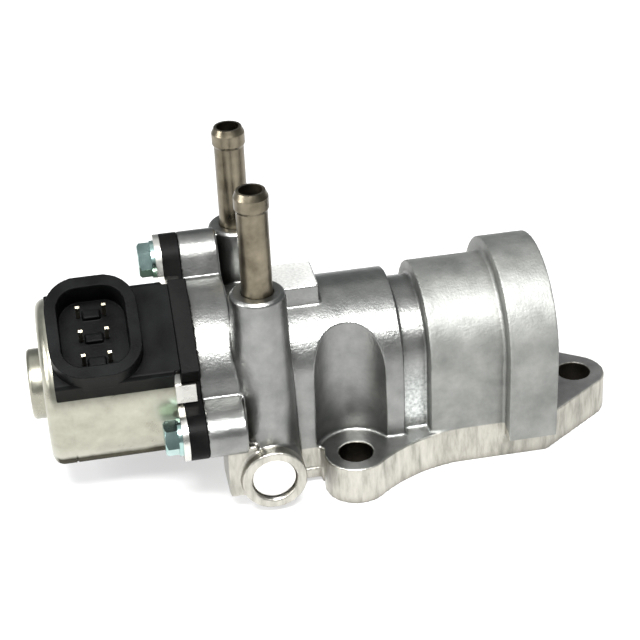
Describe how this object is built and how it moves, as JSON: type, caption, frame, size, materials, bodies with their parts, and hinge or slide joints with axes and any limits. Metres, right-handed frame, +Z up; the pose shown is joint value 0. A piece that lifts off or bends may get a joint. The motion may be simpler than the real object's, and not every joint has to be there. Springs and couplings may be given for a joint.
{
  "type": "exhaust gas recirculation valve",
  "caption": "Cast exhaust gas recirculation valve with a stepper motor drive, coolant pipes, side connector and bolted base flange.",
  "frame": {"origin": "on the mounting face, midway between the two side bolt holes and below the valve axis", "axes": "+X along the valve from the motor to the closed end, +Z up from the mounting face"},
  "size_m": [0.1594, 0.0678, 0.089],
  "materials": {
    "cast_body": "as cast with machined faces",
    "pipe_steel": "dull drawn steel",
    "plug_steel": "bright",
    "can_steel": "plated satin",
    "plate_steel": "plated",
    "bolt_steel": "blue-green passivated",
    "black_moulding": "satin moulded",
    "spacer_moulding": "matte moulded",
    "terminal_metal": "tinned",
    "stem_steel": "ground",
    "spring_steel": "drawn wire",
    "bush_metal": "sintered",
    "seal_rubber": "matte",
    "yoke_steel": "pressed sheet",
    "bobbin_moulding": "moulded",
    "coil_wire": "enamelled wire",
    "magnet": "sintered",
    "hub_moulding": "moulded"
  },
  "bodies": {
    "housing": {"valve_body": "cast_body", "front_coolant_pipe": "pipe_steel", "rear_coolant_pipe": "pipe_steel", "coolant_plug": "plug_steel", "end_plug": "plug_steel", "valve_seat": "stem_steel", "stem_bush": "bush_metal", "stem_seal": "seal_rubber", "return_spring": "spring_steel", "motor_spacer": "spacer_moulding", "face_seal": "seal_rubber", "motor_plate": "plate_steel", "motor_bolts": "bolt_steel", "motor_washers": "bolt_steel", "motor_can": "can_steel", "connector_housing": "black_moulding", "connector_terminals": "terminal_metal", "rear_bearing": "bush_metal", "front_bearing": "bush_metal", "rear_yoke_cup": "yoke_steel", "rear_yoke_ring": "yoke_steel", "rear_bobbin": "bobbin_moulding", "rear_coil": "coil_wire", "front_yoke_cup": "yoke_steel", "front_yoke_ring": "yoke_steel", "front_bobbin": "bobbin_moulding", "front_coil": "coil_wire"},
    "rotor": {"rotor_magnet": "magnet", "rotor_hub": "hub_moulding"},
    "drive_screw": {"lead_screw": "stem_steel"},
    "valve": {"valve_stem": "stem_steel", "spring_retainer": "plate_steel", "retainer_clip": "spring_steel"}
  },
  "joints": [
    {"name": "rotor_spin", "type": "hinge", "parent": "housing", "child": "rotor", "pos_m": [-0.06, 0, 0.0304], "axis": [1, 0, 0], "range_deg": [0, 1620]},
    {"name": "screw_slide", "type": "slide", "parent": "housing", "child": "drive_screw", "axis": [1, 0, 0], "range_m": [0, 0.0045]},
    {"name": "valve_lift", "type": "slide", "parent": "housing", "child": "valve", "axis": [1, 0, 0], "range_m": [0, 0.0045], "deforming": ["return_spring"]}
  ],
  "couplings": [
    {"joint": "rotor_spin", "follows": "valve_lift", "rad_per_m": 6283.2},
    {"joint": "screw_slide", "follows": "valve_lift", "ratio": 1}
  ]
}
